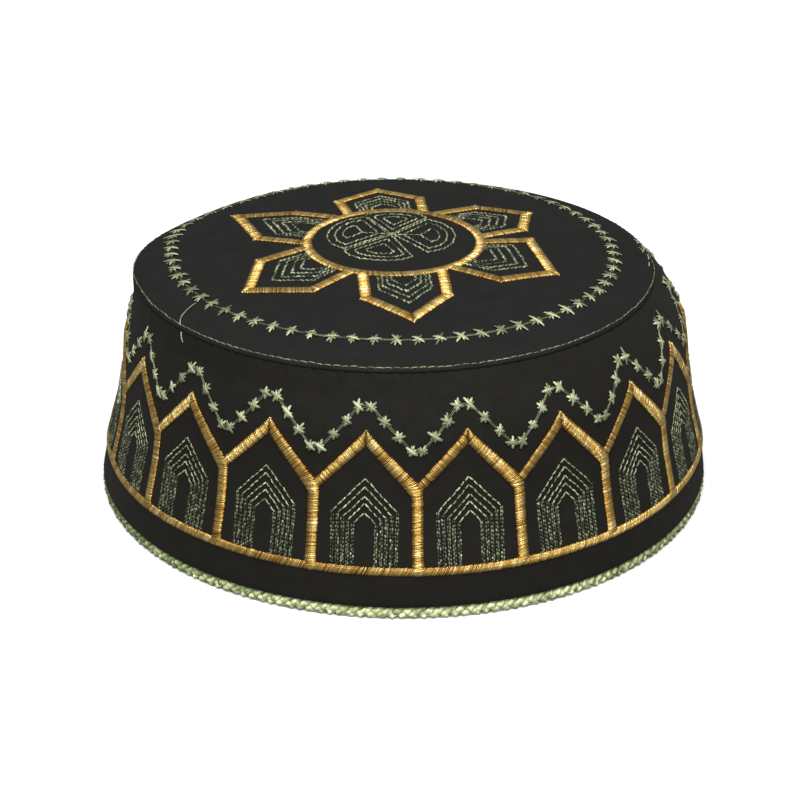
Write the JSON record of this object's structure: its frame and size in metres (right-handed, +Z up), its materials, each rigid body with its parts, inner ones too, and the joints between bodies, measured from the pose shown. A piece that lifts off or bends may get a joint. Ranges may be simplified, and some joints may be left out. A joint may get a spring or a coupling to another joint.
{
  "type": "tubeteika skullcap",
  "caption": "Round stiffened skullcap with a domed crown, tapering side band, plaited edge, gold arcade of pointed arches and a gold petalled flower on top.",
  "frame": {"origin": "on the floor, at the centre of the cap's mouth, under the plaited edge", "axes": "+Z up through the crown; -Y is the front that the picture shows; +X to its right"},
  "size_m": [0.19, 0.19, 0.0787],
  "materials": {
    "crown_cloth": "black cotton satin, dull sheen",
    "band_cloth": "black cotton satin, dull sheen",
    "edge_braid": "plaited sage-green cotton",
    "gold_thread": "padded satin stitch in old-gold silky thread",
    "green_thread": "sage-green stitches",
    "inside_cloth": "plain black cotton, matt"
  },
  "bodies": {
    "root": {"crown": "crown_cloth", "side_band": "band_cloth", "edge_braid": "edge_braid", "gold_arcade": "gold_thread", "gold_flower": "gold_thread"}
  },
  "joints": []
}
